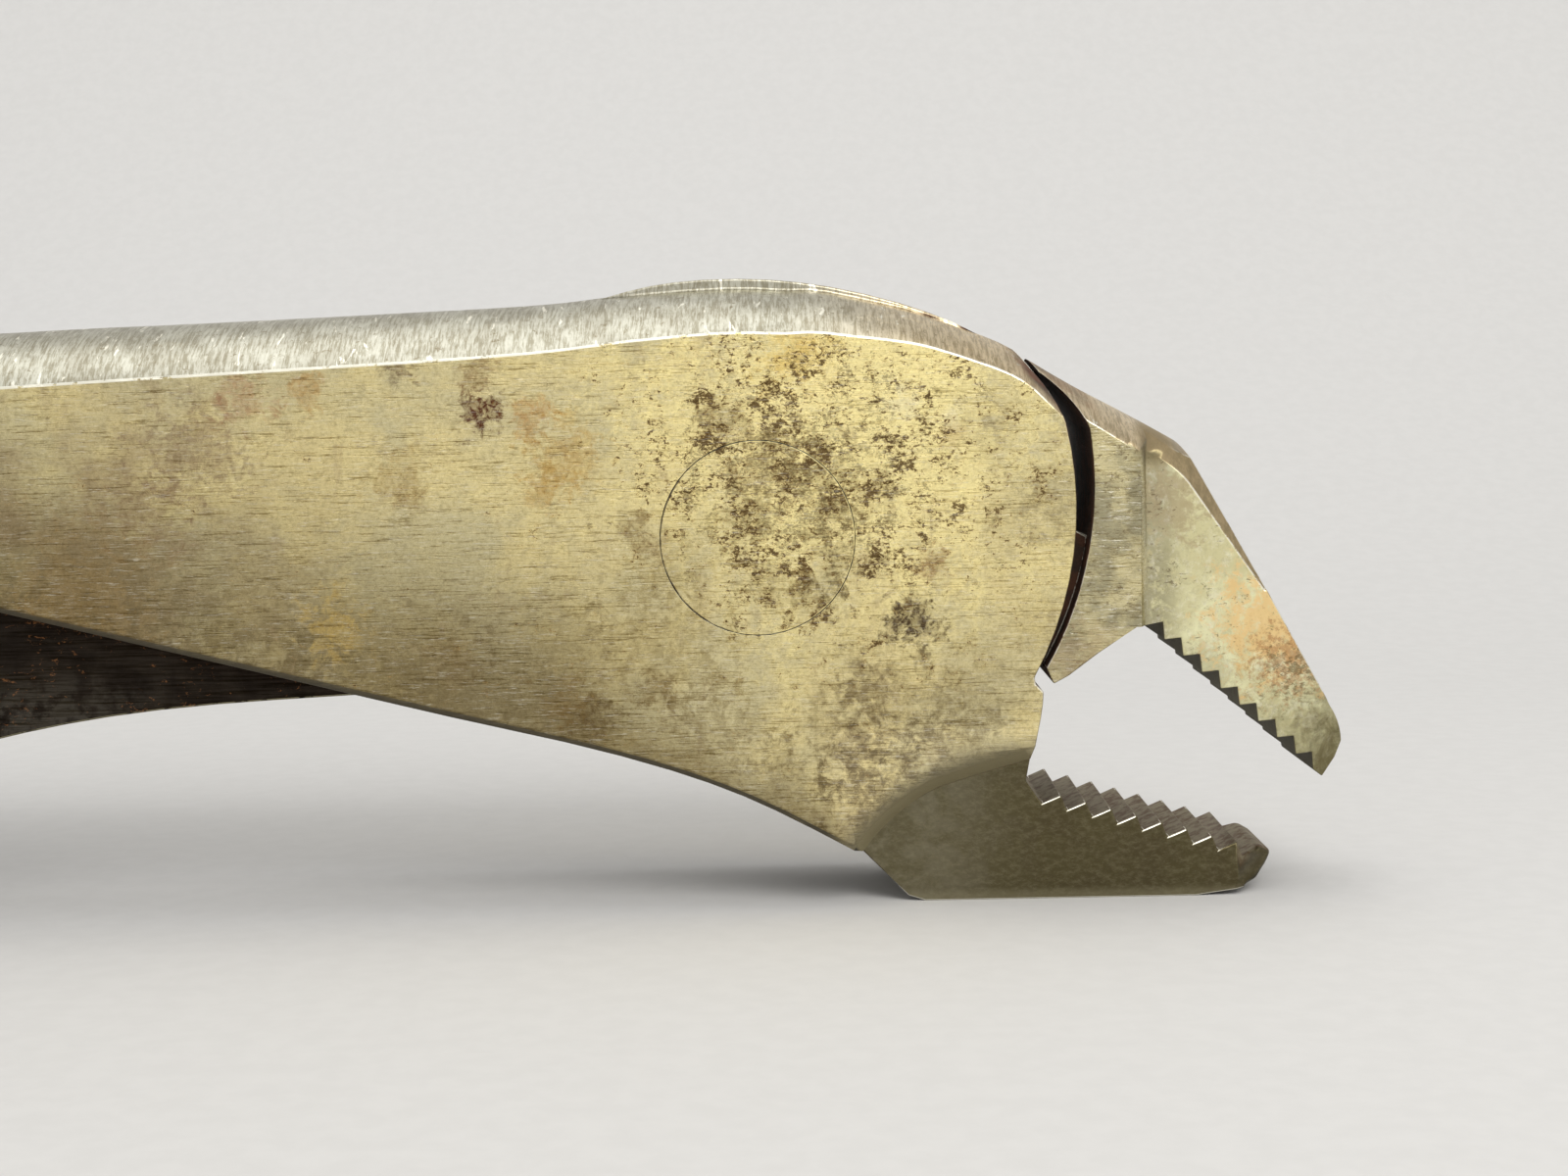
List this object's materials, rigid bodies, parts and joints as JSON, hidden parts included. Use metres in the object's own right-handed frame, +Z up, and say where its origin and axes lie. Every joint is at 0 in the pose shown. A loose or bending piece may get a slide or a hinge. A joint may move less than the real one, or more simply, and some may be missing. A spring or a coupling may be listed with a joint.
{
  "type": "locking pliers",
  "caption": "Locking pliers with a short curved nose, toothed jaws, toggle handle, release lever and adjusting screw.",
  "frame": {"origin": "middle of the tool's length and width, level with the flat sole of the lower jaw", "axes": "+X along the tool to the jaws, +Z up to the crown of the upper handle, +Y to the far side"},
  "size_m": [0.2, 0.015, 0.0409],
  "materials": {
    "body_steel": "tarnished, brushed along the tool",
    "lower_jaw_steel": "dark oiled steel with rust in the teeth",
    "upper_jaw_steel": "tarnished, smooth, with rust patches",
    "pivot_steel": "tarnished, brushed along the tool",
    "handle_steel": "dark tarnished steel",
    "pin_steel": "ground steel",
    "link_steel": "dull steel",
    "lever_steel": "dull steel",
    "spring_steel": "drawn wire and strip",
    "screw_steel": "dull threaded steel",
    "knob_steel": "knurled steel"
  },
  "bodies": {
    "body": {"body_shell": "body_steel", "fixed_jaw": "lower_jaw_steel", "pivot_pin": "pivot_steel", "pivot_pin_cap": "pivot_steel", "screw_nut": "screw_steel", "screw_nut_rivets": "pin_steel"},
    "jaw": {"upper_jaw": "upper_jaw_steel", "spring_post": "pin_steel"},
    "handle": {"lower_handle": "handle_steel", "handle_pin": "pin_steel", "link_pin": "pin_steel", "release_lever_pin": "pin_steel", "spring_anchor_pin": "pin_steel", "return_spring": "spring_steel", "lever_spring": "spring_steel", "lever_spring_rivet": "pin_steel"},
    "link": {"link_plate_left": "link_steel", "link_plate_right": "link_steel", "link_spacer": "link_steel", "thrust_block": "link_steel", "link_rivets": "pin_steel"},
    "lever": {"release_lever": "lever_steel"},
    "ring": {"screw_retaining_ring": "spring_steel"},
    "screw": {"adjusting_screw": "screw_steel", "screw_knob": "knob_steel", "knob_pin": "pin_steel"}
  },
  "joints": [
    {"name": "jaw_pivot", "type": "hinge", "parent": "body", "child": "jaw", "pos_m": [0.06217, 0, 0.0241], "axis": [0, -1, 0], "range_deg": [0, 20]},
    {"name": "handle_pivot", "type": "hinge", "parent": "jaw", "child": "handle", "pos_m": [0.05467, 0, 0.0326], "axis": [0, -1, 0], "range_deg": [0, 16.05], "deforming": ["return_spring"]},
    {"name": "link_pivot", "type": "hinge", "parent": "handle", "child": "link", "pos_m": [0.03717, 0, 0.0319], "axis": [0, -1, 0], "range_deg": [-47.1, 0]},
    {"name": "release_lever", "type": "hinge", "parent": "handle", "child": "lever", "pos_m": [-0.02383, 0, 0.0109], "axis": [0, -1, 0], "range_deg": [0, 4.5], "stiffness_Nm_per_rad": 0.6, "springref_deg": -6.88, "deforming": ["lever_spring"]},
    {"name": "screw_travel", "type": "slide", "parent": "body", "child": "ring", "axis": [-0.9996, 0, -0.0279], "range_m": [0, 0.012]},
    {"name": "screw_turn", "type": "hinge", "parent": "ring", "child": "screw", "pos_m": [-0.03283, 0, 0.0283], "axis": [-0.9996, 0, -0.0279], "range_deg": [0, 2881]}
  ],
  "couplings": [
    {"joint": "handle_pivot", "follows": "jaw_pivot", "ratio": 0.8},
    {"joint": "link_pivot", "follows": "jaw_pivot", "ratio": -2.352},
    {"joint": "screw_turn", "follows": "screw_travel", "rad_per_m": 4188.8}
  ]
}
